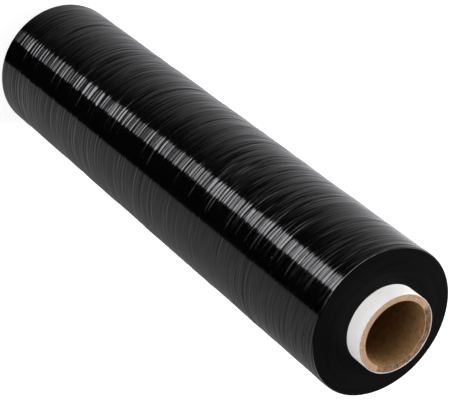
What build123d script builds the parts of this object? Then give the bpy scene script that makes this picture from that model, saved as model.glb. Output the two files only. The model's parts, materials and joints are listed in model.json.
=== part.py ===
from build123d import *
from math import pi, sin
import os

# Stretch wrap roll: black stretch film wound on a spiral-wound paper core.
# The roll stands on one end of its core. Z is the winding axis and z = 0 is the core's lower end.
# The board tube runs right through and stands out at both ends, the white paper ply covers it,
# and the winding grips the ply.

# Driving dimensions, in millimetres

core_bore_radius = 26.7        # slides on a two-inch mandrel
core_board_wall = 4.85
outer_ply_thickness = 0.45
core_stub = 17.0               # core that stands out past the film at each end

film_width = 500.0
film_outer_radius = 60.7

# Core's upper end: over one sector the board tore below the knife's cut, deepest at the bore

tear_start = 16.0              # degrees round the axis from +X
tear_span = 152.0
tear_depth_at_bore = 1.2
tear_depth_at_ply = 0.4

# Ends of the winding: turns near the core stand proud, and bundles of turns lie at uneven heights

face_dome = 2.4
turn_bundles = 8
bundle_ripple = 0.25
bundle_phase = 2.4             # radians from one bundle to the next, so that no two lie alike
edge_round = 0.8               # the outermost turns curl over at the barrel's edge

# Barrel of the winding: thick and thin bands of film build up as shallow ridges

gauge_bands = 18
gauge_depth = 0.45
gauge_waves = ((1.7, 2.0), (3.9, 0.0), (6.3, 1.0))    # waves along the barrel, each with its phase

# Sizes that follow

core_length = film_width + 2 * core_stub
board_outer_radius = core_bore_radius + core_board_wall
ply_outer_radius = board_outer_radius + outer_ply_thickness
film_bottom = core_stub
film_top = film_bottom + film_width
winding_depth = film_outer_radius - ply_outer_radius


def ring(inner_radius, outer_radius, height):
    """A straight tube that stands on z = 0."""
    return extrude(Circle(outer_radius) - Circle(inner_radius), height)


def torn_sector():
    """What is missing over the torn sector: a ring segment whose floor falls towards the bore."""
    above = core_length + tear_depth_at_bore
    section = Polyline(
        (0, above),
        (board_outer_radius, above),
        (board_outer_radius, core_length - tear_depth_at_ply),
        (core_bore_radius, core_length - tear_depth_at_bore),
        (0, core_length - tear_depth_at_bore),
        close=True,
    )
    segment = revolve(Plane.XZ * make_face(section), Axis.Z, tear_span)
    return Rot(0, 0, tear_start) * segment


def core_tube():
    """The kraft board tube, cut square at both ends and torn over one sector of the upper one."""
    return ring(core_bore_radius, board_outer_radius, core_length) - torn_sector()


def core_outer_ply():
    """The white paper ply, a thin sleeve on the board that the knife left whole."""
    return ring(board_outer_radius, ply_outer_radius, core_length)


def bundle_height(index):
    """How far a bundle of turns stands past the film's edge: a dome that falls away from the core,
    and a small uneven step of its own."""
    share = (index + 0.5) / turn_bundles
    return face_dome * (1 - share) + bundle_ripple * (1 - share) * sin(bundle_phase * index)


def end_steps():
    """Points of one end face, from the core outwards, as (radius, height past the film's edge)."""
    bundle_depth = (winding_depth - edge_round) / turn_bundles
    points = []
    for index in range(turn_bundles):
        inner = ply_outer_radius + index * bundle_depth
        height = bundle_height(index)
        points += [(inner, height), (inner + bundle_depth, height)]
    return points


def gauge_radius(share):
    """The barrel's radius at a share of its length: the mean of slow waves of unlike length, at
    most the roll's outer radius."""
    wave = sum(sin(2 * pi * count * share + phase) for count, phase in gauge_waves) / len(gauge_waves)
    return film_outer_radius - gauge_depth * (1 - wave) / 2


def film_roll():
    """The winding: one closed section turned about the core. Its ends are stepped bundles of turns
    and its barrel is a row of shallow bands."""
    upper = [(radius, film_top + height) for radius, height in end_steps()]
    lower = [(radius, film_bottom - height) for radius, height in end_steps()]
    barrel_length = film_width - 2 * edge_round
    shares = [band / gauge_bands for band in range(gauge_bands + 1)]
    barrel = [(gauge_radius(share), film_bottom + edge_round + barrel_length * share) for share in shares]
    section = Polyline(*lower, *barrel, *reversed(upper), close=True)
    return revolve(Plane.XZ * make_face(section), Axis.Z)


os.makedirs("parts", exist_ok=True)
pieces = {
    "core_tube": core_tube(),
    "core_outer_ply": core_outer_ply(),
    "film_roll": film_roll(),
}
for name, piece in pieces.items():
    piece.label = name
    export_step(piece, "parts/" + name + ".step")
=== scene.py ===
from math import cos, pi, radians, sin
import json

import bpy
import numpy as np
from mathutils import Matrix, Vector


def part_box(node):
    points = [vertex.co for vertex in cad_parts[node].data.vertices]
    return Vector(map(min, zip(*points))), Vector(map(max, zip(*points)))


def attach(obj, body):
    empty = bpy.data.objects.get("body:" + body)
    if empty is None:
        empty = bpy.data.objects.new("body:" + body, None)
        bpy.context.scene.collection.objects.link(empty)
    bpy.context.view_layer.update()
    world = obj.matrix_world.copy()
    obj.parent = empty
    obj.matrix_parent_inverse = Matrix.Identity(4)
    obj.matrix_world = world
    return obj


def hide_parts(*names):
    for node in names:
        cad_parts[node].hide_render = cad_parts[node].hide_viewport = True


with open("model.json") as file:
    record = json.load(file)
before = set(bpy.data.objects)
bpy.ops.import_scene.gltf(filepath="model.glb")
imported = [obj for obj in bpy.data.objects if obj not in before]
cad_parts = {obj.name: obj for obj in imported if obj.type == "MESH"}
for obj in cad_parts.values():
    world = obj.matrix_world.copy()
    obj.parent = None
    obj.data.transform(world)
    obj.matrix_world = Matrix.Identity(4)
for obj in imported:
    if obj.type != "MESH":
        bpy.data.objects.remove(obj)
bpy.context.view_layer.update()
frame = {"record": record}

# A stretch wrap roll: glossy black film wound on a kraft board core with a white paper ply.
# Metres throughout. Z is the winding axis, and the camera stands on the -Y side.

MM = 0.001
SEED = 41

# Sizes read from the frame

FILM_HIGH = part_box("film_roll")[1].z
FILM_RADIUS = min(abs(side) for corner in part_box("film_roll") for side in (corner.x, corner.y))
PLY_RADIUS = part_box("core_outer_ply")[1].x
BOARD_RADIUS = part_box("core_tube")[1].x
CORE_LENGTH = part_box("core_tube")[1].z
BORE_RADIUS = frame["record"]["mounts"][0]["dims"]["r_mm"] * MM

# The winding

CORE_STUB = 17.0 * MM
FILM_EDGE_LOW = CORE_STUB
FILM_EDGE_HIGH = CORE_LENGTH - CORE_STUB
FILM_WIDTH = FILM_EDGE_HIGH - FILM_EDGE_LOW
FACE_DOME = FILM_HIGH - FILM_EDGE_HIGH
FACE_SHARE = 0.9             # share of the dome's height that the end faces reach beside the core
EDGE_ROUND = 0.8 * MM
GAUGE_DEPTH = 0.45 * MM
GAUGE_WAVES = ((1.7, 2.0), (3.9, 0.0), (6.3, 1.0))      # waves along the barrel, each with its phase
LAP_STEP = 0.10 * MM         # the film's free end stands this high along the barrel
LAP_TURN = 100.0             # degrees from +X
FILM_AROUND = 84             # points round the film, then rows of points along it
BARREL_ROWS = 984
FACE_ROWS = 90
EDGE_ROWS = 7

# Wrinkles of the barrel: height, length along the streak, width across it and slant in degrees

HAIR_WRINKLES = (0.048 * MM, 14 * MM, 0.52 * MM, 0.0)
FINE_WRINKLES = (0.076 * MM, 22 * MM, 0.86 * MM, 0.0)
BROAD_WRINKLES = (0.018 * MM, 45 * MM, 1.6 * MM, 0.0)
UPPER_WRINKLES = (0.026 * MM, 12 * MM, 0.60 * MM, -4.0)
SOFT_BANDS = (0.06 * MM, 300 * MM, 5.0 * MM, 0.0)

# Where the wrinkles are high, how steep they may be and how they sweep

PATCHES = (60 * MM, 5.0 * MM, 0.0)            # length, width and slant of lively and calm patches
PATCH_MOST = 1.5             # the patchy sheet is held to this
PATCH_LEAST = 0.45           # share of the wrinkles' height that doesn't follow it
WRINKLES_BELOW = 2.2         # how many times their height they have at the lower end
WRINKLES_FALL = 0.9          # how much less that is at the upper end
FLANKS_ABOVE = 0.45          # how much more both flanks have towards the upper end
FLANK_BELOW = 0.40           # how much more the -X flank has towards the lower end, and the +X one less
MEAN_FOLD = 0.8              # mean of a sheet of streaks that is folded at zero
STEEPEST = 0.20              # slope from which a wrinkle is eased towards the mean of its neighbours
EASE_ROWS = 3                # rows on each side that count as its neighbours
SWEEP = 5.0 * MM             # how far the wrinkles sweep along the roll at the upper edge
SWEEP_FROM = 0.375           # share of the film's width from which they sweep, and slanted ones join

# Grooves that run right round the barrel: distance from the upper edge, depth and half width, in mm

GROOVES = (
    (33, 0.05, 1.1), (42, 0.08, 1.1), (68, 0.05, 1.0), (90, 0.05, 1.1), (133, 0.07, 1.1),
    (157, 0.04, 0.9), (197, 0.04, 1.1), (245, 0.06, 1.2), (290, 0.04, 1.2), (303, 0.08, 1.2),
    (357, 0.04, 1.3), (377, 0.03, 1.2), (405, 0.04, 1.3), (452, 0.03, 1.3),
)

# Uneven turns on the end faces: height, length round the axis, width and slant

FACE_RINGS = ((0.012 * MM, 60 * MM, 0.30 * MM, 0.0), (0.03 * MM, 90 * MM, 1.8 * MM, 0.0))

# The torn sector of the board's upper end, in degrees round the axis from +X

TEAR_START = 16.0
TEAR_SPAN = 152.0
TEAR_AT_BORE = 1.2 * MM
TEAR_AT_PLY = 0.4 * MM
BEGIN_FADE, BEGIN_RAGGED = 5.0, 1.6           # degrees over which it sinks in, and how ragged that is
STOP_FADE, STOP_RAGGED = 14.0, 3.0            # and over which it rises again where it stops
RAGGED_SHEET = 5.0 * MM
RAGGED = (1.5 * MM, 1.2 * MM, 0.0)            # length, width and slant of the ragged ends' streaks
TORN_FIBRES = ((0.14 * MM, 2.2 * MM, 0.35 * MM, 0.0), (0.16 * MM, 4.0 * MM, 0.9 * MM, 0.0))
CUT_ROUGH = 0.03 * MM        # roughness of the end where the knife cut it
LIP_WIDTH = 0.17             # part of the wall that the innermost ply takes
LIP_EDGE = 0.04              # part of the wall over which it rises
LIP_STANDS = 0.75            # how much of the torn depth it still fills
LIP_MIDDLE = 118.0           # degrees from +X where it stands best
LIP_SPREAD = 42.0

# The board's bore, whose dents run along the board's spiral, and the meshes of board and ply

DENT_DEEP = 0.05 * MM
DENTS = (9 * MM, 5 * MM, 28.0)                # length, width and slant
DENT_SHEET = 120 * MM
ROW_POWER = 1.7              # above 1, the bore's rows stand closer together near the upper end
BOARD_AROUND = 360
BOARD_END_ROWS = 26
BOARD_WALL_ROWS = 110
PLY_AROUND = 256
PLY_WALL_ROWS = 120
PLY_EDGE_ROWS = 7

# Creases finer than the film's mesh: noise cells per metre around and along, how far from its middle
# value the noise still gives a crease, and height in mm

CREASES = ((7.0, 120.0, 0.045, 0.055), (9.0, 280.0, 0.080, 0.045), (12.0, 520.0, 0.120, 0.030))
CREASE_LEAST = 0.5           # share of the creases' height that is left at the lower end
CREASE_LEAN = 0.12           # how far they lean up along the roll for each metre towards -X
CREASE_DETAIL = 1.5          # detail of their noise
FLANK_LINES = (8.0, 80.0, 0.14, 0.22)         # broad lines on the barrel's flanks, in the same measures
FLANK_FROM = (1 / 2, -1 / 3)                  # share of the radius, along X, from which they grow
RIPPLES = ((9.0, 230.0, 2.0, 0.16), (14.0, 520.0, 1.0, 0.06))     # cells around and along, detail, mm
UPPER_FROM = 225.0 * MM      # height from which the creases grow and lean
UPPER_OVER = 250.0 * MM      # and over which

# The lower half is wound a little out of round, with a slope across its front

SKEW = 0.072
SKEW_WIDTH = 15.0 * MM
SKEW_FOOT = 1.22             # share of it at z = 0, held to 1
SKEW_FALL = 3.7              # and the share that goes for each metre up

# Finishes. A ramp is a low tone with its colour and a high tone with its colour

FILM_BLACK = (0.0010, 0.0010, 0.0012, 1)
FILM_DUST = {"Cells": 80.0, "Radius": 0.019, "Share": 0.30}
FILM_DUST_TONE = (0.65, 0.65, 0.66, 1)
END_BLACKS = ((0.34, (0.0010, 0.0010, 0.0012)), (0.66, (0.0060, 0.0060, 0.0062)))
END_DUST = {"Cells": 90.0, "Radius": 0.03, "Share": 0.06}
END_DUST_TONE = (0.16, 0.16, 0.17, 1)
RING_STRETCH = 60.0          # how much finer the rings of the cut ends are across than along
RING_NOISE = (22.0, 4.0, 0.7)                 # cells per metre along, detail and roughness
RING_BUMP = 0.055 * MM
CUT_BOARD = ((0.32, (0.54, 0.32, 0.185)), (0.68, (0.86, 0.57, 0.38)))
TORN_BOARD = ((0.36, (0.11, 0.060, 0.030)), (0.64, (0.54, 0.345, 0.205)))
# The bore's wall is darker kraft, and part of its darkness is painted shade for the inside of the bore
BORE_WALL_AND_SHADE = ((0.34, (0.175, 0.091, 0.032)), (0.66, (0.455, 0.262, 0.112)))
BOARD_FIBRES = {"Cloud Scale": 260.0, "Fibre Scale": 900.0, "Fibre Share": 0.65}
BOARD_SPECKS = {"Cells": 330.0, "Radius": 0.16, "Share": 0.05}
BOARD_SPECK_TONE = (0.07, 0.04, 0.025, 1)
BOARD_BUMP = (0.3 * MM, 0.7)                  # distance and strength
PAPER_WHITES = ((0.30, (0.915, 0.895, 0.885)), (0.70, (0.955, 0.94, 0.93)))
PAPER_FIBRES = {"Cloud Scale": 200.0, "Fibre Scale": 900.0, "Fibre Share": 0.35}
PAPER_BUMP = (0.1 * MM, 0.25)
CLOUD_DETAIL = 4.0
FIBRE_NOISE = (3.0, 0.6)     # detail and roughness
FIBRE_STRETCH = (1.0, 1.0, 2.6)               # finer along Z, so the fibres run round the core
FIBRE_HEIGHT = 0.7           # part of the paper's height that comes from fibres, the rest from clouds

# The studio that glossy surfaces reflect. Each light has a list by turn, in degrees from -Y towards +X
# of where a reflection goes, and a list by rise, in degrees from the horizon

RIGHT_PANEL = (
    (49, 0.004), (51, 0.46), (72, 0.50), (89, 0.46), (105, 0.41), (121, 0.36), (137, 0.30),
    (154, 0.25), (172, 0.26), (180, 0.40),
)
RIGHT_RISE = (
    (-84, 0.0), (-76, 0.4), (-66, 1.1), (-60, 1.05), (-54, 0.82), (-49, 0.70), (-46, 0.86),
    (-43.5, 1.04), (-41, 0.98), (-37, 0.84), (-30, 0.70), (12, 0.60), (30, 0.10),
)
RIGHT_LEAN = (
    (-75, -40), (-70, -28), (-64, -15.5), (-61, -12), (-58, -8), (-55, -5.3), (-52, -3),
    (-49, -1.3), (-46, 0.5), (-43, 1.5), (-40, 2.5), (-36, 4.2), (-30, 5.7), (-20, 7.5),
)                            # by rise: degrees round that the panel stands from where its list says
LEFT_PANEL = (
    (-180, 0.95), (-158, 1.02), (-142, 0.92), (-125, 0.76), (-109, 0.66), (-93, 0.58), (-76, 0.40),
    (-60, 0.12), (-46, 0.03), (-32, 0.010), (-14, 0.004), (20, 0.0),
)
LEFT_RISE = (
    (-72, 0.20), (-60, 0.42), (-55, 0.60), (-49, 0.70), (-45, 0.84), (-41, 1.10), (-34, 1.60),
    (-28, 1.7), (-20, 0.9), (12, 0.60), (30, 0.10),
)
LEFT_LEAN = 2.7              # degrees round that the panel moves for each degree of rise
LEFT_LEAN_AT = -44.5         # rise at which it stands where its list says
LEFT_LEAN_MOST = 30.0
STRIP_LAMP = ((-13.3, 0.0), (-12.4, 1.0), (7.2, 1.0), (8.1, 0.0))     # the bright strip on the barrel
STRIP_RISE = (
    (-66, 0.002), (-61, 0.006), (-58, 0.012), (-55, 0.033), (-53, 0.066), (-51, 0.105),
    (-49, 0.125), (-46.5, 0.13), (-44.5, 0.23), (-43, 0.56), (-42, 0.68), (-38, 0.78),
    (-32, 0.90), (-26, 0.7), (-18, 0.25), (-10, 0.25), (0, 0.0),
)
WIDE_LAMP = ((-100, 0.0), (-60, 0.6), (-15, 1.0), (9, 1.0), (34, 0.0))     # what tilted wrinkles catch
WIDE_RISE = (
    (-41, 0.0), (-38, 0.003), (-34, 0.014), (-31, 0.05), (-28, 0.15), (-24, 0.30),
    (-19, 0.12), (-11, 0.08), (-5, 1.0), (14, 1.0), (28, 0.0),
)
END_LAMPS = (                # what the rings of the end faces catch
    (-163, 0.0), (-147, 1.0), (-118, 1.0), (-98, 0.0), (98, 0.0), (118, 1.0), (147, 1.0), (163, 0.0),
)
END_RISE = ((-4, 0.0), (8, 1.0), (42, 1.0), (58, 0.0))
LAMPS = (                    # by turn, by rise, and how bright
    (STRIP_LAMP, STRIP_RISE, 9.0),
    (WIDE_LAMP, WIDE_RISE, 9.0),
    (END_LAMPS, END_RISE, 2.3),
)
GLOSSY_TINT = (0.97, 0.965, 1.0, 1)           # reflections are a touch blue

# The light that falls on dull surfaces, by rise, the lamp, and the floor

DULL_RISE = ((-60, 0.80), (0, 1.0), (12, 1.0), (34, 0.12), (90, 0.0))
DULL_LIGHT = 1.75
DULL_SIDE = 0.10             # how much more of it comes from the -X side
DULL_FRONT = 0.40            # and from the -Y side
KEY_PLACE = (-1.3, 1.1, 1.4)
KEY_AIM = (0, 0, 0.5)
KEY_SIZE = 1.0
KEY_WATTS = 26.0
FLOOR_SIZE = 12.0
FLOOR_TONE = (0.9, 0.9, 0.9, 1)
FLOOR_GLOW = 0.7

# The photograph's camera

CAMERA_PLACE = (1.69 * MM, -943.05 * MM, 1331.57 * MM)
CAMERA_DIP = 47.3717         # degrees below the horizon, looking along +Y
CAMERA_ROLL = -128.7299      # degrees about the line of sight
LENS_MM = 138.629
SENSOR_MM = 36.0
FARTHEST_SEEN = 100.0


def closed_grid(name, points):
    """A mesh from a grid of points, rows by columns, that closes on itself both ways: every point is
    joined to the next in its row and to the one in the next row, and the last to the first."""
    rows, columns = points.shape[:2]
    index = np.arange(rows * columns).reshape(rows, columns)
    right = np.roll(index, -1, axis=1)
    above = np.roll(index, -1, axis=0)
    corner = np.roll(right, -1, axis=0)
    quads = np.stack([index, right, corner, above], axis=-1).reshape(-1, 4)
    mesh = bpy.data.meshes.new(name)
    mesh.vertices.add(rows * columns)
    mesh.vertices.foreach_set("co", points.reshape(-1).astype(np.float32))
    mesh.loops.add(quads.size)
    mesh.loops.foreach_set("vertex_index", quads.reshape(-1).astype(np.int32))
    mesh.polygons.add(len(quads))
    mesh.polygons.foreach_set("loop_start", np.arange(0, quads.size, 4, dtype=np.int32))
    mesh.polygons.foreach_set("loop_total", np.full(len(quads), 4, dtype=np.int32))
    mesh.polygons.foreach_set("use_smooth", np.ones(len(quads), dtype=bool))
    mesh.update(calc_edges=True)
    mesh.validate()
    piece = bpy.data.objects.new(name, mesh)
    bpy.context.scene.collection.objects.link(piece)
    return piece


def point_values(piece, name, values):
    """Gives each point of a piece a number that its material reads."""
    attribute = piece.data.attributes.new(name, "FLOAT", "POINT")
    attribute.data.foreach_set("value", np.asarray(values, np.float32).reshape(-1))


def turned(radius, height, around):
    """Points of a turned form: row i, column j is at radius[i, j] and height[i, j], a j-th part of the
    way round the axis."""
    angle = np.linspace(0, 2 * pi, around, endpoint=False)[None, :]
    return np.stack([radius * np.cos(angle), radius * np.sin(angle), height + 0 * angle], axis=-1)


def streaks(rng, shape, size, length, width, slant):
    """Random streaks on a rows by columns sheet of a given size: white noise smoothed by a bell curve
    that is long along the streak and narrow across it, turned by the slant in degrees. The sheet closes
    on itself, and its standard deviation is 1."""
    rows, columns = shape
    noise = np.fft.fft2(rng.standard_normal(shape))
    along = np.fft.fftfreq(columns, size[1] / columns)[None, :]
    across = np.fft.fftfreq(rows, size[0] / rows)[:, None]
    lean_cos, lean_sin = cos(radians(slant)), sin(radians(slant))
    length_part = length * (along * lean_cos + across * lean_sin)
    width_part = width * (across * lean_cos - along * lean_sin)
    bell = np.exp(-2 * pi ** 2 * (length_part ** 2 + width_part ** 2))
    sheet = np.fft.ifft2(noise * bell).real
    return sheet / sheet.std()


def swept(sheet, shift):
    """The sheet with each point read from further up its column: the shift is in rows, and what lies
    between two rows is mixed from both."""
    rows, columns = sheet.shape
    place = np.arange(rows)[:, None] + shift
    low = np.floor(place).astype(int)
    part = place - low
    column = np.arange(columns)[None, :]
    return sheet[low % rows, column] * (1 - part) + sheet[(low + 1) % rows, column] * part


def eased(wrinkles, spacing):
    """The wrinkles with the steep ones softened. From the steepest slope allowed up to twice that, a
    point and the rows beside it go over to the mean of their neighbours along the roll."""
    slope = np.abs(np.roll(wrinkles, -1, axis=0) - np.roll(wrinkles, 1, axis=0)) / (2 * spacing)
    steep = np.clip(slope / STEEPEST - 1, 0, 1)
    steep = np.maximum(steep, np.maximum(np.roll(steep, 1, axis=0), np.roll(steep, -1, axis=0)))
    steps = range(-EASE_ROWS, EASE_ROWS + 1)
    mean = sum(np.roll(wrinkles, step, axis=0) for step in steps) / len(steps)
    return wrinkles + steep * (mean - wrinkles)


def wrinkle_relief(rng, share, turn, spacing):
    """Depth of the barrel's wrinkles, by share of the film's width and by turn: streaks whose folded
    sheets have sharp creases, times a patchy sheet, and higher towards the lower end and on the flanks.
    Slanted ones join them towards the upper end, where all of them sweep up on the -X side and down on
    the +X side. Soft bands are added last."""
    shape = (share.size, turn.size)
    size = (FILM_WIDTH, 2 * pi * FILM_RADIUS)

    def sheet(measures):
        return streaks(rng, shape, size, *measures[1:])

    def folded(measures):
        return measures[0] * (np.abs(sheet(measures)) - MEAN_FOLD)

    patchy = np.minimum(np.abs(streaks(rng, shape, size, *PATCHES)), PATCH_MOST)
    patches = PATCH_LEAST + (1 - PATCH_LEAST) * patchy
    flanks = FLANKS_ABOVE * share * np.abs(np.cos(turn)) - FLANK_BELOW * (1 - share) * np.cos(turn)
    busy = patches * (WRINKLES_BELOW - WRINKLES_FALL * share + flanks)
    wrinkles = folded(HAIR_WRINKLES) + folded(FINE_WRINKLES) + folded(BROAD_WRINKLES)
    upper = np.clip((share - SWEEP_FROM) / (1 - SWEEP_FROM), 0, 1)
    wrinkles = eased(busy * (wrinkles + upper * folded(UPPER_WRINKLES)), spacing)
    shift = upper * SWEEP * np.cos(turn) / spacing
    return swept(wrinkles, shift) + SOFT_BANDS[0] * sheet(SOFT_BANDS)


def barrel_relief(rng, height):
    """How far the barrel lies inside its outer radius, by height and turn: gauge bands as a mean of
    slow waves, grooves as narrow bells, and wrinkles. The free end of the film is a small step along
    the barrel, from which the radius falls again evenly round the turn."""
    share = ((height - FILM_EDGE_LOW) / FILM_WIDTH)[:, None]
    turn = np.linspace(0, 2 * pi, FILM_AROUND, endpoint=False)[None, :]
    waves = [np.sin(2 * pi * count * share + phase) for count, phase in GAUGE_WAVES]
    bands = GAUGE_DEPTH * (1 - sum(waves) / len(waves)) / 2
    below_edge = (FILM_EDGE_HIGH - height)[:, None]
    grooves = sum(
        depth * MM * np.exp(-((below_edge - place * MM) / (half * MM)) ** 2)
        for place, depth, half in GROOVES
    )
    wrinkles = wrinkle_relief(rng, share, turn, height[1] - height[0])
    lap = LAP_STEP * ((np.degrees(turn) - LAP_TURN) % 360) / 360
    return np.clip(bands + grooves + wrinkles + lap, 0, None)


def face_relief(rng, radius):
    """How far an end face stands past the film's edge, by radius: a dome that falls away from the core,
    with the turns at uneven heights as a sum of narrow and broad random rings."""
    share = ((radius - PLY_RADIUS) / (FILM_RADIUS - PLY_RADIUS))[:, None]
    shape = (len(radius), FILM_AROUND)
    size = (FILM_RADIUS - PLY_RADIUS, 2 * pi * FILM_RADIUS)
    rings = sum(high * streaks(rng, shape, size, *streak) for high, *streak in FACE_RINGS)
    fade = np.sin(pi * np.clip(share, 0, 1)) ** 0.5
    return FACE_SHARE * FACE_DOME * (1 - share) + fade * rings


def film_piece():
    """The winding as one closed skin: up the barrel, over the upper edge, in across the upper face, down
    the bore beside the ply and out across the lower face. The two end faces have their own material."""
    rng = np.random.default_rng(SEED)
    barrel_z = np.linspace(FILM_EDGE_LOW + EDGE_ROUND, FILM_EDGE_HIGH - EDGE_ROUND, BARREL_ROWS)
    barrel_r = FILM_RADIUS - barrel_relief(rng, barrel_z)
    face_r = np.linspace(FILM_RADIUS - GAUGE_DEPTH / 2 - EDGE_ROUND, PLY_RADIUS, FACE_ROWS)
    upper_rise = face_relief(rng, face_r)
    lower_rise = face_relief(rng, face_r)
    flat = np.zeros((1, FILM_AROUND))
    bend = np.linspace(0, pi / 2, EDGE_ROWS + 2)[1:-1][:, None]
    edge_in = EDGE_ROUND * (1 - np.cos(bend))
    edge_out = EDGE_ROUND * np.sin(bend) + flat
    face_ring = face_r[:, None] + flat
    radius = np.concatenate([
        barrel_r,
        barrel_r[-1] - edge_in,
        face_ring,
        face_ring[::-1],
        (barrel_r[0] - edge_in)[::-1],
    ])
    height = np.concatenate([
        barrel_z[:, None] + flat,
        barrel_z[-1] + edge_out,
        FILM_EDGE_HIGH + upper_rise,
        (FILM_EDGE_LOW - lower_rise)[::-1],
        (barrel_z[0] - edge_out)[::-1],
    ])
    piece = closed_grid("wound_film", turned(radius, height, FILM_AROUND))
    # a closed grid has one face for each point, in the same order
    on_face = np.zeros(radius.shape, dtype=int)
    on_face[BARREL_ROWS + EDGE_ROWS:BARREL_ROWS + EDGE_ROWS + 2 * FACE_ROWS] = 1
    piece.data.polygons.foreach_set("material_index", on_face.reshape(-1))
    return piece


def torn_end(rng, angle, radius):
    """The board's upper end, by radius and turn: its height, how far it is torn, and how far the
    innermost ply still stands. Over the torn sector the end falls evenly towards the bore, with torn
    fibres as random streaks. The innermost ply stands by a bell curve round its middle."""
    shape = (len(radius), len(angle))
    wall = BOARD_RADIUS - BORE_RADIUS
    around = 2 * pi * BOARD_RADIUS
    inward = ((BOARD_RADIUS - radius) / wall)[:, None]
    into = (angle - TEAR_START) % 360
    ragged = streaks(rng, shape, (RAGGED_SHEET, around), *RAGGED)
    begin = np.clip((into + BEGIN_RAGGED * ragged) / BEGIN_FADE, 0, 1)
    stop = np.clip((TEAR_SPAN - into + STOP_RAGGED * ragged) / STOP_FADE, 0, 1)
    torn = begin * stop * (into < TEAR_SPAN)
    fine, coarse = (streaks(rng, shape, (wall, around), *streak) for high, *streak in TORN_FIBRES)
    lip_bell = np.exp(-((angle - LIP_MIDDLE) / LIP_SPREAD) ** 2)
    lip = np.clip((inward - 1 + LIP_WIDTH) / LIP_EDGE, 0, 1) * lip_bell
    depth = TEAR_AT_PLY + (TEAR_AT_BORE - TEAR_AT_PLY) * inward * (1 - LIP_STANDS * lip)
    fall = depth + TORN_FIBRES[0][0] * fine + TORN_FIBRES[1][0] * coarse
    height = CORE_LENGTH - torn * np.clip(fall, 0, None) - CUT_ROUGH * np.abs(fine)
    return height, torn, lip


def board_piece():
    """The board tube as one closed skin: in across the upper end, down the dented bore, out across the
    lower end and up the hidden outer wall."""
    rng = np.random.default_rng(SEED + 1)
    angle = np.degrees(np.linspace(0, 2 * pi, BOARD_AROUND, endpoint=False))
    end_r = np.linspace(BOARD_RADIUS, BORE_RADIUS, BOARD_END_ROWS)
    upper_z, torn, lip = torn_end(rng, angle, end_r)
    wall_rows = BOARD_WALL_ROWS - 2
    wall_share = np.linspace(0, 1, BOARD_WALL_ROWS)[1:-1][:, None]
    bore_z = upper_z[-1] * (1 - wall_share ** ROW_POWER)
    dent_sheet = (DENT_SHEET, 2 * pi * BORE_RADIUS)
    dents = np.abs(streaks(rng, (wall_rows, BOARD_AROUND), dent_sheet, *DENTS))
    flat = np.zeros((1, BOARD_AROUND))
    radius = np.concatenate([
        end_r[:, None] + flat,
        BORE_RADIUS + DENT_DEEP * dents,
        end_r[::-1][:, None] + flat,
        BOARD_RADIUS + 0 * wall_share + flat,
    ])
    height = np.concatenate([
        upper_z,
        bore_z,
        np.zeros((BOARD_END_ROWS, 1)) + flat,
        (CORE_LENGTH - TEAR_AT_PLY) * wall_share + flat,
    ])
    piece = closed_grid("board_core", turned(radius, height, BOARD_AROUND))
    torn_mask = np.zeros(radius.shape)
    torn_mask[:BOARD_END_ROWS] = torn * (1 - lip)
    point_values(piece, "torn", torn_mask)
    lower_end = BOARD_END_ROWS + wall_rows
    on_end = np.zeros(radius.shape)
    on_end[:BOARD_END_ROWS] = 1.0
    on_end[lower_end:lower_end + BOARD_END_ROWS] = 1.0
    point_values(piece, "cut_end", on_end)
    return piece


def ply_piece():
    """The white paper ply as one closed skin: a sleeve whose cut edges are half circles in section."""
    thickness = PLY_RADIUS - BOARD_RADIUS
    middle = BOARD_RADIUS + thickness / 2
    bend = np.linspace(0, pi, PLY_EDGE_ROWS)
    edge_r = middle + thickness / 2 * np.cos(bend)
    edge_in = thickness / 2 * (1 - np.sin(bend))
    wall = np.linspace(0, 1, PLY_WALL_ROWS)[1:-1]
    straight = CORE_LENGTH - thickness
    radius = np.concatenate([
        edge_r,
        np.full(len(wall), BOARD_RADIUS),
        edge_r[::-1],
        np.full(len(wall), PLY_RADIUS),
    ])
    height = np.concatenate([
        CORE_LENGTH - edge_in,
        thickness / 2 + straight * (1 - wall),
        edge_in[::-1],
        thickness / 2 + straight * wall,
    ])
    flat = np.zeros((1, PLY_AROUND))
    return closed_grid("white_ply", turned(radius[:, None] + flat, height[:, None] + flat, PLY_AROUND))


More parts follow.
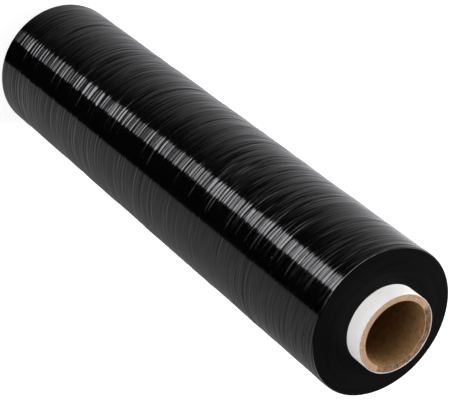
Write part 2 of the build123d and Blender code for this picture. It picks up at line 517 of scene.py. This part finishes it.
class Nodes:
    """A node tree with short calls: add a node with its settings, join sockets, or work out a number."""

    def __init__(self, tree):
        self.tree = tree

    def add(self, kind, inputs=(), **settings):
        node = self.tree.nodes.new(kind)
        for name, value in settings.items():
            setattr(node, name, value)
        for key, value in dict(inputs).items():
            self.feed(node.inputs[key], value)
        return node

    def feed(self, socket, value):
        if isinstance(value, bpy.types.NodeSocket):
            self.tree.links.new(value, socket)
        else:
            socket.default_value = value

    def math(self, operation, *values):
        node = self.add("ShaderNodeMath", operation=operation)
        for socket, value in zip(node.inputs, values):
            self.feed(socket, value)
        return node.outputs[0]

    def held(self, value, least=0.0, most=1.0):
        return self.math("MINIMUM", self.math("MAXIMUM", value, least), most)

    def ramp(self, factor, stops):
        node = self.add("ShaderNodeValToRGB", {"Fac": factor})
        elements = node.color_ramp.elements
        while len(elements) < len(stops):
            elements.new(1.0)
        for element, (place, colour) in zip(elements, stops):
            element.position = place
            element.color = (*colour, 1.0)
        return node.outputs["Color"]

    def mix(self, factor, first, second):
        node = self.add("ShaderNodeMix", data_type="RGBA")
        self.feed(node.inputs[0], factor)
        self.feed(node.inputs[6], first)
        self.feed(node.inputs[7], second)
        return node.outputs[2]

    def object_place(self):
        return self.add("ShaderNodeTexCoord").outputs["Object"]

    def parts(self, vector):
        return self.add("ShaderNodeSeparateXYZ", {"Vector": vector}).outputs

    def vector(self, x, y, z):
        return self.add("ShaderNodeCombineXYZ", {"X": x, "Y": y, "Z": z}).outputs["Vector"]

    def stretched(self, place, scale):
        return self.add("ShaderNodeMapping", {"Vector": place, "Scale": scale}).outputs["Vector"]

    def noise(self, place, scale, detail, roughness=0.5):
        settings = {"Vector": place, "Scale": scale, "Detail": detail, "Roughness": roughness}
        return self.add("ShaderNodeTexNoise", settings).outputs["Fac"]

    def bump(self, height, distance, strength=1.0):
        settings = {"Strength": strength, "Distance": distance, "Height": height}
        return self.add("ShaderNodeBump", settings).outputs["Normal"]

    def point_value(self, name):
        return self.add("ShaderNodeAttribute", attribute_name=name).outputs["Fac"]

    def group(self, tree, inputs):
        return self.add("ShaderNodeGroup", inputs, node_tree=tree).outputs


def material(name):
    """A new material with only its Principled shader and output."""
    made = bpy.data.materials.new(name)
    made.use_nodes = True
    made.node_tree.nodes.clear()
    nodes = Nodes(made.node_tree)
    shader = nodes.add("ShaderNodeBsdfPrincipled")
    nodes.add("ShaderNodeOutputMaterial", {"Surface": shader.outputs["BSDF"]})
    return made, nodes, shader.inputs


def new_group(name, inputs, outputs):
    """An empty node group with named inputs, as (name, kind, first value), and named value outputs."""
    tree = bpy.data.node_groups.new(name, "ShaderNodeTree")
    for label, kind, value in inputs:
        socket = tree.interface.new_socket(label, in_out="INPUT", socket_type=kind)
        if value is not None:
            socket.default_value = value
    for label in outputs:
        tree.interface.new_socket(label, in_out="OUTPUT", socket_type="NodeSocketFloat")
    nodes = Nodes(tree)
    return tree, nodes, nodes.add("NodeGroupInput").outputs, nodes.add("NodeGroupOutput").inputs


def paper_fibre_group():
    """Paper and board up close: soft clouds, fine fibres that run one way, and both mixed as a tone."""
    tree, nodes, given, result = new_group(
        "paper_fibres",
        [("Place", "NodeSocketVector", None), ("Cloud Scale", "NodeSocketFloat", 160.0),
         ("Fibre Scale", "NodeSocketFloat", 700.0), ("Fibre Share", "NodeSocketFloat", 0.5)],
        ["Tone", "Height"],
    )
    cloud = nodes.noise(given["Place"], given["Cloud Scale"], CLOUD_DETAIL)
    along = nodes.stretched(given["Place"], FIBRE_STRETCH)
    fibre = nodes.noise(along, given["Fibre Scale"], *FIBRE_NOISE)
    split = nodes.math("SUBTRACT", fibre, cloud)
    nodes.feed(result["Tone"], nodes.math("MULTIPLY_ADD", split, given["Fibre Share"], cloud))
    cloud_height = nodes.math("MULTIPLY", cloud, 1 - FIBRE_HEIGHT)
    nodes.feed(result["Height"], nodes.math("MULTIPLY_ADD", fibre, FIBRE_HEIGHT, cloud_height))
    return tree


def speck_group():
    """Scattered specks: the middles of cells, kept in a share of the cells and cut to a small radius."""
    tree, nodes, given, result = new_group(
        "scattered_specks",
        [("Place", "NodeSocketVector", None), ("Cells", "NodeSocketFloat", 100.0),
         ("Radius", "NodeSocketFloat", 0.05), ("Share", "NodeSocketFloat", 0.3)],
        ["Mask"],
    )
    cells = nodes.add("ShaderNodeTexVoronoi", {"Vector": given["Place"], "Scale": given["Cells"]})
    near = nodes.math("LESS_THAN", cells.outputs["Distance"], given["Radius"])
    chance = nodes.add("ShaderNodeSeparateColor", {"Color": cells.outputs["Color"]}).outputs["Red"]
    kept = nodes.math("LESS_THAN", chance, given["Share"])
    nodes.feed(result["Mask"], nodes.math("MULTIPLY", near, kept))
    return tree


def out_of_round(nodes, parts):
    """Height in mm of the slope across the front of the lower half: a smooth step along X that fades
    out evenly up the roll."""
    low = nodes.held(nodes.math("MULTIPLY_ADD", parts["Z"], -SKEW_FALL, SKEW_FOOT))
    bent = nodes.math("TANH", nodes.math("MULTIPLY", parts["X"], 1 / SKEW_WIDTH))
    return nodes.math("MULTIPLY", nodes.math("MULTIPLY", bent, SKEW * SKEW_WIDTH / MM), low)


def film_height(nodes, place):
    """Height in mm of what is finer than the film's mesh, or hardly rises from it: creases, where a
    stretched noise comes close to its middle value, that grow and lean towards the upper end, ripples
    as plain noise, broad lines that grow on the flanks, and the out-of-round slope."""
    parts = nodes.parts(place)
    upper = nodes.held(nodes.math("MULTIPLY_ADD", parts["Z"], 1 / UPPER_OVER, -UPPER_FROM / UPPER_OVER))
    lean = nodes.math("MULTIPLY", upper, CREASE_LEAN)
    leaning_z = nodes.math("MULTIPLY_ADD", parts["X"], lean, parts["Z"])
    leaning = nodes.vector(parts["X"], parts["Y"], leaning_z)

    def stretched_noise(around, along, detail):
        return nodes.noise(nodes.stretched(leaning, (around, around, along)), 1.0, detail)

    def ridges(around, along, narrow):
        field = stretched_noise(around, along, CREASE_DETAIL)
        away = nodes.math("ABSOLUTE", nodes.math("SUBTRACT", field, 0.5))
        return nodes.math("MAXIMUM", nodes.math("MULTIPLY_ADD", away, -1 / narrow, 1.0), 0.0)

    height = 0.0
    for around, along, narrow, high in CREASES:
        height = nodes.math("MULTIPLY_ADD", ridges(around, along, narrow), high, height)
    left = nodes.math("MULTIPLY_ADD", upper, 1 - CREASE_LEAST, CREASE_LEAST)
    height = nodes.math("MULTIPLY", height, left)
    for around, along, detail, high in RIPPLES:
        height = nodes.math("MULTIPLY_ADD", stretched_noise(around, along, detail), high, height)

    around, along, narrow, high = FLANK_LINES
    flanks = [nodes.math("MULTIPLY_ADD", parts["X"], 1 / (at * FILM_RADIUS), -1.0) for at in FLANK_FROM]
    flank = nodes.math("MAXIMUM", nodes.math("MAXIMUM", *flanks), 0.0)
    lined = nodes.math("MULTIPLY", ridges(around, along, narrow), flank)
    height = nodes.math("MULTIPLY_ADD", lined, high, height)
    return nodes.math("ADD", height, out_of_round(nodes, parts))


def film_material(specks):
    """Black film: a clear gloss over near black, with creases and ripples along the barrel's turns and
    a little dust."""
    made, nodes, shader = material("black_stretch_film")
    place = nodes.object_place()
    nodes.feed(shader["Normal"], nodes.bump(film_height(nodes, place), MM))
    dust = nodes.group(specks, {"Place": place, **FILM_DUST})["Mask"]
    nodes.feed(shader["Base Color"], nodes.mix(dust, FILM_BLACK, FILM_DUST_TONE))
    shader["Roughness"].default_value = 0.07
    shader["IOR"].default_value = 1.5
    return made


def cut_film_material(specks):
    """The cut ends of the winding: the turns' edges as fine rings, noise that is read by distance from
    the axis and stretched round it, on a dull black with a faint gloss."""
    made, nodes, shader = material("cut_stretch_film")
    place = nodes.object_place()
    parts = nodes.parts(place)
    across = nodes.math("MULTIPLY", parts["X"], parts["X"])
    squares = nodes.math("MULTIPLY_ADD", parts["Y"], parts["Y"], across)
    outward = nodes.math("MULTIPLY", nodes.math("SQRT", squares), RING_STRETCH)
    turns = nodes.noise(nodes.vector(outward, parts["X"], parts["Y"]), *RING_NOISE)
    nodes.feed(shader["Normal"], nodes.bump(turns, RING_BUMP))
    dust = nodes.group(specks, {"Place": place, **END_DUST})["Mask"]
    nodes.feed(shader["Base Color"], nodes.mix(dust, nodes.ramp(turns, END_BLACKS), END_DUST_TONE))
    shader["Roughness"].default_value = 0.40
    shader["Specular IOR Level"].default_value = 0.07
    return made


def board_material(fibres, specks):
    """Kraft board: light tan where the knife cut it, darker and rougher where it tore, and a darker brown
    wall in the bore, part of whose darkness is painted shade for the inside of the bore."""
    made, nodes, shader = material("kraft_board")
    place = nodes.object_place()
    paper = nodes.group(fibres, {"Place": place, **BOARD_FIBRES})
    cut, torn, wall = (nodes.ramp(paper["Tone"], stops) for stops in (CUT_BOARD, TORN_BOARD, BORE_WALL_AND_SHADE))
    end = nodes.mix(nodes.point_value("torn"), cut, torn)
    plain = nodes.mix(nodes.point_value("cut_end"), wall, end)
    dark = nodes.group(specks, {"Place": place, **BOARD_SPECKS})["Mask"]
    nodes.feed(shader["Base Color"], nodes.mix(dark, plain, BOARD_SPECK_TONE))
    nodes.feed(shader["Normal"], nodes.bump(paper["Height"], *BOARD_BUMP))
    shader["Roughness"].default_value = 0.9
    shader["Specular IOR Level"].default_value = 0.2
    return made


def paper_material(fibres):
    """White paper: a slightly mottled white with fine fibres."""
    made, nodes, shader = material("white_paper")
    paper = nodes.group(fibres, {"Place": nodes.object_place(), **PAPER_FIBRES})
    nodes.feed(shader["Base Color"], nodes.ramp(paper["Tone"], PAPER_WHITES))
    nodes.feed(shader["Normal"], nodes.bump(paper["Height"], *PAPER_BUMP))
    shader["Roughness"].default_value = 0.75
    return made


def by_degrees(nodes, degrees, span, stops):
    """A list of values by degrees, read from a ramp over the whole span. A ramp holds only 0 to 1, so
    the values go into it from the list's least to its greatest, and come out again as they were."""
    values = [value for at, value in stops]
    least = min(values)
    spread = max(values) - least
    place = nodes.math("MULTIPLY_ADD", degrees, 1 / span, 0.5)
    shares = [(0.5 + at / span, ((value - least) / spread,) * 3) for at, value in stops]
    return nodes.math("MULTIPLY_ADD", nodes.ramp(place, shares), spread, least)


def by_rise(nodes, rise, stops):
    """A list of values by rise, from straight down to straight up."""
    return by_degrees(nodes, rise, 180, stops)


def glossy_light(nodes, turn, rise):
    """What glossy surfaces reflect: a panel on each side, which leans over to stand straight in the
    barrel's reflection, and the lamps. Each is its list by turn times its list by rise."""

    def light(turns, rises, place):
        return nodes.math("MULTIPLY", by_degrees(nodes, place, 360, turns), by_rise(nodes, rise, rises))

    right_place = nodes.math("ADD", turn, by_rise(nodes, rise, RIGHT_LEAN))
    left_lean = nodes.math("MULTIPLY", nodes.math("SUBTRACT", rise, LEFT_LEAN_AT), LEFT_LEAN)
    left_place = nodes.math("ADD", turn, nodes.held(left_lean, -LEFT_LEAN_MOST, LEFT_LEAN_MOST))
    right_panel = light(RIGHT_PANEL, RIGHT_RISE, right_place)
    left_panel = light(LEFT_PANEL, LEFT_RISE, left_place)
    level = nodes.math("ADD", right_panel, left_panel)
    for turns, rises, peak in LAMPS:
        level = nodes.math("MULTIPLY_ADD", light(turns, rises, turn), peak, level)
    return level


def dull_light(nodes, parts, rise):
    """What falls on dull surfaces: light by its rise, a little more of it from the front and one side."""
    front = nodes.math("MULTIPLY_ADD", parts["Y"], -DULL_FRONT, 1.0)
    side = nodes.math("MULTIPLY_ADD", parts["X"], -DULL_SIDE, front)
    return nodes.math("MULTIPLY", by_rise(nodes, rise, DULL_RISE), nodes.math("MULTIPLY", side, DULL_LIGHT))


def studio_world():
    """White behind the roll, panels and lamps for glossy rays, and even light for all other rays."""
    world = bpy.data.worlds.new("studio")
    bpy.context.scene.world = world
    world.use_nodes = True
    world.node_tree.nodes.clear()
    world.cycles.sampling_method = "NONE"
    nodes = Nodes(world.node_tree)
    parts = nodes.parts(nodes.add("ShaderNodeTexCoord").outputs["Generated"])
    rise = nodes.math("DEGREES", nodes.math("ARCSINE", parts["Z"]))
    front = nodes.math("MULTIPLY", parts["Y"], -1.0)
    turn = nodes.math("DEGREES", nodes.math("ARCTAN2", parts["X"], front))
    glossy = glossy_light(nodes, turn, rise)
    dull = dull_light(nodes, parts, rise)

    path = nodes.add("ShaderNodeLightPath").outputs
    seen = nodes.math("MAXIMUM", path["Is Glossy Ray"], path["Is Transmission Ray"])
    light = nodes.math("MULTIPLY_ADD", seen, nodes.math("SUBTRACT", glossy, dull), dull)
    white = nodes.math("SUBTRACT", 1.0, light)
    level = nodes.math("MULTIPLY_ADD", path["Is Camera Ray"], white, light)
    tint = nodes.mix(seen, (1, 1, 1, 1), GLOSSY_TINT)
    background = nodes.add("ShaderNodeBackground", {"Color": tint, "Strength": level})
    nodes.add("ShaderNodeOutputWorld", {"Surface": background.outputs[0]})


def floor():
    """A plain pale floor: partly self-lit so that it stays white, with the roll's soft shadow on it."""
    half = FLOOR_SIZE / 2
    corners = [(-half, -half, 0), (half, -half, 0), (half, half, 0), (-half, half, 0)]
    mesh = bpy.data.meshes.new("floor")
    mesh.from_pydata(corners, [], [(0, 1, 2, 3)])
    piece = bpy.data.objects.new("floor", mesh)
    bpy.context.scene.collection.objects.link(piece)
    piece.visible_glossy = False
    made = bpy.data.materials.new("pale_floor")
    made.use_nodes = True
    made.node_tree.nodes.clear()
    nodes = Nodes(made.node_tree)
    diffuse = nodes.add("ShaderNodeBsdfDiffuse", {"Color": FLOOR_TONE})
    camera_ray = nodes.add("ShaderNodeLightPath").outputs["Is Camera Ray"]
    glow = nodes.add("ShaderNodeEmission", {"Strength": nodes.math("MULTIPLY", camera_ray, FLOOR_GLOW)})
    both = nodes.add("ShaderNodeAddShader", {0: diffuse.outputs[0], 1: glow.outputs[0]})
    nodes.add("ShaderNodeOutputMaterial", {"Surface": both.outputs[0]})
    mesh.materials.append(made)


def camera():
    """Stands at the photograph's place, looks along +Y and down, and is rolled about its line of sight."""
    dip, roll = radians(CAMERA_DIP), radians(CAMERA_ROLL)
    ahead = Vector((0, cos(dip), -sin(dip)))
    level_right = Vector((1, 0, 0))
    level_up = level_right.cross(ahead)
    up = level_up * cos(roll) + level_right * sin(roll)
    right = ahead.cross(up)
    lens = bpy.data.cameras.new("camera")
    lens.sensor_fit = "HORIZONTAL"
    lens.sensor_width = SENSOR_MM
    lens.lens = LENS_MM
    lens.clip_end = FARTHEST_SEEN
    eye = bpy.data.objects.new("camera", lens)
    bpy.context.scene.collection.objects.link(eye)
    turn = Matrix((right, up, -ahead)).transposed()
    eye.matrix_world = Matrix.Translation(CAMERA_PLACE) @ turn.to_4x4()
    bpy.context.scene.camera = eye


def key_lamp():
    """A square soft lamp behind the roll; glossy surfaces see the studio's panels instead."""
    data = bpy.data.lights.new("key_lamp", "AREA")
    data.size = KEY_SIZE
    data.energy = KEY_WATTS
    lamp = bpy.data.objects.new("key_lamp", data)
    bpy.context.scene.collection.objects.link(lamp)
    lamp.location = KEY_PLACE
    lamp.rotation_euler = (Vector(KEY_AIM) - Vector(KEY_PLACE)).to_track_quat("-Z", "Y").to_euler()
    lamp.visible_glossy = False


paper_fibres = paper_fibre_group()
scattered_specks = speck_group()

film = film_piece()
film.data.materials.append(film_material(scattered_specks))
film.data.materials.append(cut_film_material(scattered_specks))
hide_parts("film_roll")
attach(film, "root")

board = board_piece()
board.data.materials.append(board_material(paper_fibres, scattered_specks))
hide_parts("core_tube")
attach(board, "root")

ply = ply_piece()
ply.data.materials.append(paper_material(paper_fibres))
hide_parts("core_outer_ply")
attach(ply, "root")

studio_world()
floor()
key_lamp()
camera()

bpy.context.scene.view_settings.view_transform = "Standard"
